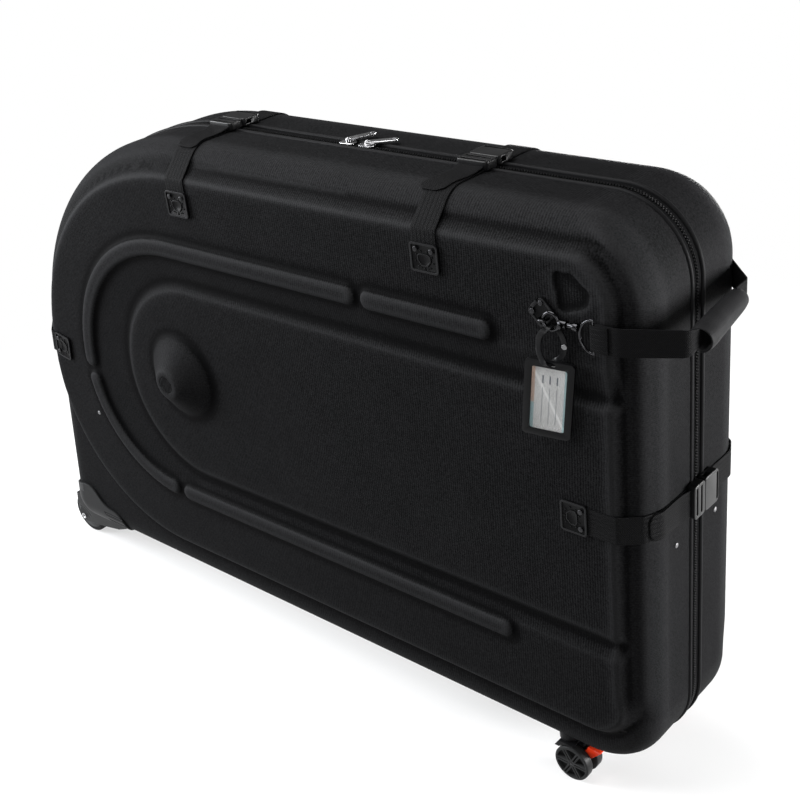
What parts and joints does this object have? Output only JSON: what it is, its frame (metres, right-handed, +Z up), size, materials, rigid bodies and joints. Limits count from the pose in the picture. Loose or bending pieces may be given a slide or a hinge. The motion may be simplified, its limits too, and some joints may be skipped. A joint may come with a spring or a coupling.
{
  "type": "bike travel case",
  "caption": "Clamshell travel case for a bicycle in black fabric over moulded foam, with a zipped edge, buckled straps, end handle, luggage tag, corner wheels and braked castors.",
  "frame": {"origin": "middle of the footprint, on the floor under the wheels", "axes": "+X along the case towards the handle, +Y from the front shell to the back shell, +Z up"},
  "size_m": [1.443, 0.334, 0.8986],
  "materials": {
    "shell_fabric": "woven cover over moulded foam",
    "zip_tape": "woven tape and coil",
    "webbing": "flat woven webbing",
    "black_plastic": "glossy moulded",
    "castor_plastic": "matt moulded",
    "cover_plastic": "satin moulded",
    "wheel_plastic": "satin moulded",
    "tyre_rubber": "smooth tread",
    "steel": "plated",
    "bright_metal": "polished",
    "red_plastic": "glossy moulded",
    "tag_plastic": "soft vinyl",
    "tag_clear": "clear film",
    "card": "plain card"
  },
  "bodies": {
    "case": {"back_shell": "shell_fabric", "back_zip_tape": "zip_tape", "hinge_strip": "zip_tape", "back_top_straps": "webbing", "back_strap_left": "webbing", "back_strap_right": "webbing", "buckle_female_top_left": "black_plastic", "buckle_female_top_right": "black_plastic", "buckle_female_right": "black_plastic", "buckle_female_left": "black_plastic", "back_anchor_plates": "black_plastic", "back_rivets": "steel", "handle_strap_back": "webbing", "handle_grip": "webbing", "back_corner_housing": "cover_plastic", "back_corner_axle": "steel", "back_castor_mount": "castor_plastic", "tie_straps": "webbing"},
    "lid": {"front_shell": "shell_fabric", "front_zip_tape": "zip_tape", "front_top_straps": "webbing", "front_strap_left": "webbing", "front_strap_right": "webbing", "front_anchor_plates": "black_plastic", "front_rivets": "steel", "handle_staple": "steel", "snap_hook": "bright_metal", "handle_ring": "steel", "handle_strap_front": "webbing", "front_corner_housing": "cover_plastic", "front_corner_axle": "steel", "front_castor_mount": "castor_plastic"},
    "tag": {"tag_loop": "tag_plastic", "tag_frame": "tag_plastic", "tag_window": "tag_clear", "tag_card": "card"},
    "bolt": {"snap_bolt": "bright_metal"},
    "front_corner_wheel": {"front_corner_tyre": "tyre_rubber", "front_corner_core": "wheel_plastic"},
    "front_castor": {"front_castor_fork": "castor_plastic", "front_castor_axle": "steel"},
    "front_castor_outer": {"front_castor_wheel_outer": "wheel_plastic"},
    "front_castor_inner": {"front_castor_wheel_inner": "wheel_plastic"},
    "front_brake": {"front_brake_lever": "red_plastic"},
    "back_corner_wheel": {"back_corner_tyre": "tyre_rubber", "back_corner_core": "wheel_plastic"},
    "back_castor": {"back_castor_fork": "castor_plastic", "back_castor_axle": "steel"},
    "back_castor_outer": {"back_castor_wheel_outer": "wheel_plastic"},
    "back_castor_inner": {"back_castor_wheel_inner": "wheel_plastic"},
    "back_brake": {"back_brake_lever": "red_plastic"},
    "male_top_left": {"buckle_male_top_left": "black_plastic"},
    "male_top_right": {"buckle_male_top_right": "black_plastic"},
    "male_right": {"buckle_male_right": "black_plastic"},
    "male_left": {"buckle_male_left": "black_plastic"},
    "slider_left": {"zip_slider_left": "bright_metal"},
    "pull_left": {"zip_pull_left": "bright_metal"},
    "slider_right": {"zip_slider_right": "bright_metal"},
    "pull_right": {"zip_pull_right": "bright_metal"}
  },
  "joints": [
    {"name": "lid_hinge", "type": "hinge", "parent": "case", "child": "lid", "pos_m": [0.02099, 0, 0.0637], "axis": [1, 0, 0], "range_deg": [0, 55], "deforming": ["hinge_strip"]},
    {"name": "front_corner_wheel_spin", "type": "hinge", "parent": "lid", "child": "front_corner_wheel", "pos_m": [-0.67901, -0.067, 0.0425], "axis": [0, 1, 0], "continuous": true},
    {"name": "front_castor_swivel", "type": "hinge", "parent": "lid", "child": "front_castor", "pos_m": [0.50399, -0.085, 0.062], "axis": [0, 0, 1], "continuous": true},
    {"name": "front_castor_outer_spin", "type": "hinge", "parent": "front_castor", "child": "front_castor_outer", "pos_m": [0.51799, -0.098, 0.029], "axis": [0, 1, 0], "continuous": true},
    {"name": "front_castor_inner_spin", "type": "hinge", "parent": "front_castor", "child": "front_castor_inner", "pos_m": [0.51799, -0.072, 0.029], "axis": [0, 1, 0], "continuous": true},
    {"name": "front_brake_pivot", "type": "hinge", "parent": "front_castor", "child": "front_brake", "pos_m": [0.53399, -0.085, 0.047], "axis": [0, 1, 0], "range_deg": [0, 15]},
    {"name": "back_corner_wheel_spin", "type": "hinge", "parent": "case", "child": "back_corner_wheel", "pos_m": [-0.67901, 0.067, 0.0425], "axis": [0, 1, 0], "continuous": true},
    {"name": "back_castor_swivel", "type": "hinge", "parent": "case", "child": "back_castor", "pos_m": [0.50399, 0.085, 0.062], "axis": [0, 0, 1], "continuous": true},
    {"name": "back_castor_outer_spin", "type": "hinge", "parent": "back_castor", "child": "back_castor_outer", "pos_m": [0.51799, 0.098, 0.029], "axis": [0, 1, 0], "continuous": true},
    {"name": "back_castor_inner_spin", "type": "hinge", "parent": "back_castor", "child": "back_castor_inner", "pos_m": [0.51799, 0.072, 0.029], "axis": [0, 1, 0], "continuous": true},
    {"name": "back_brake_pivot", "type": "hinge", "parent": "back_castor", "child": "back_brake", "pos_m": [0.53399, 0.085, 0.047], "axis": [0, 1, 0], "range_deg": [0, 15]},
    {"name": "buckle_top_left", "type": "slide", "parent": "lid", "child": "male_top_left", "axis": [0, -1, 0], "range_m": [0, 0.03]},
    {"name": "buckle_top_right", "type": "slide", "parent": "lid", "child": "male_top_right", "axis": [0, -1, 0], "range_m": [0, 0.03]},
    {"name": "buckle_right", "type": "slide", "parent": "lid", "child": "male_right", "axis": [0, -1, 0], "range_m": [0, 0.03]},
    {"name": "buckle_left", "type": "slide", "parent": "lid", "child": "male_left", "axis": [0, -1, 0], "range_m": [0, 0.03]},
    {"name": "zip_left", "type": "slide", "parent": "case", "child": "slider_left", "axis": [1, 0, 0], "range_m": [-0.15, 0]},
    {"name": "pull_left_lift", "type": "hinge", "parent": "slider_left", "child": "pull_left", "pos_m": [0.11099, 0, 0.8912], "axis": [0.9272, -0.3746, 0], "range_deg": [0, 150]},
    {"name": "zip_right", "type": "slide", "parent": "case", "child": "slider_right", "axis": [1, 0, 0], "range_m": [0, 0.12]},
    {"name": "pull_right_lift", "type": "hinge", "parent": "slider_right", "child": "pull_right", "pos_m": [0.14699, 0, 0.8912], "axis": [0.6428, -0.766, 0], "range_deg": [0, 150]},
    {"name": "snap_bolt_slide", "type": "slide", "parent": "lid", "child": "bolt", "axis": [1, 0, 0], "range_m": [0, 0.008], "stiffness_N_per_m": 150},
    {"name": "tag_swing", "type": "hinge", "parent": "lid", "child": "tag", "pos_m": [0.54589, -0.1392, 0.7538], "axis": [0, 1, 0], "range_deg": [-20, 15]}
  ]
}
